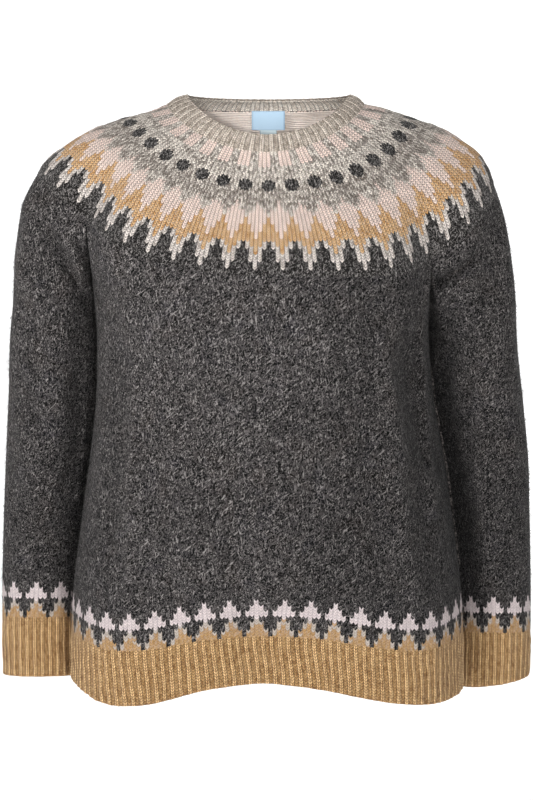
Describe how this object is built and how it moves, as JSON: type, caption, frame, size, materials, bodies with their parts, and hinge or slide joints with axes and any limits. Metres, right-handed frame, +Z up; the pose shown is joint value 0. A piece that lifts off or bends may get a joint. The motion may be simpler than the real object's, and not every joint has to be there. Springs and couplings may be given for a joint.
{
  "type": "pullover",
  "caption": "Round-necked knitted pullover, filled out as worn and hollow, with a circular patterned yoke, long sleeves and ribbed neck, hem and cuffs.",
  "frame": {"origin": "where the wearer's shoulders carry it, on the midline at the base of the neck", "axes": "+Z up, the front faces -Y, the wearer's left is +X"},
  "size_m": [0.5963, 0.2523, 0.6695],
  "materials": {
    "charcoal": "brushed wool knit, charcoal heather",
    "mustard": "wool rib knit, mustard",
    "oatmeal": "wool rib knit, oatmeal heather",
    "yoke_colours": "stranded colourwork knit",
    "label": "woven satin",
    "tab": "woven satin"
  },
  "bodies": {
    "root": {"neck_rib": "oatmeal", "yoke": "yoke_colours", "front_body": "charcoal", "back_body": "charcoal", "sleeve_right": "charcoal", "sleeve_left": "charcoal", "hem_rib_front": "mustard", "hem_rib_back": "mustard", "cuff_right": "mustard", "cuff_left": "mustard", "label": "label", "size_tab": "tab"}
  },
  "joints": []
}
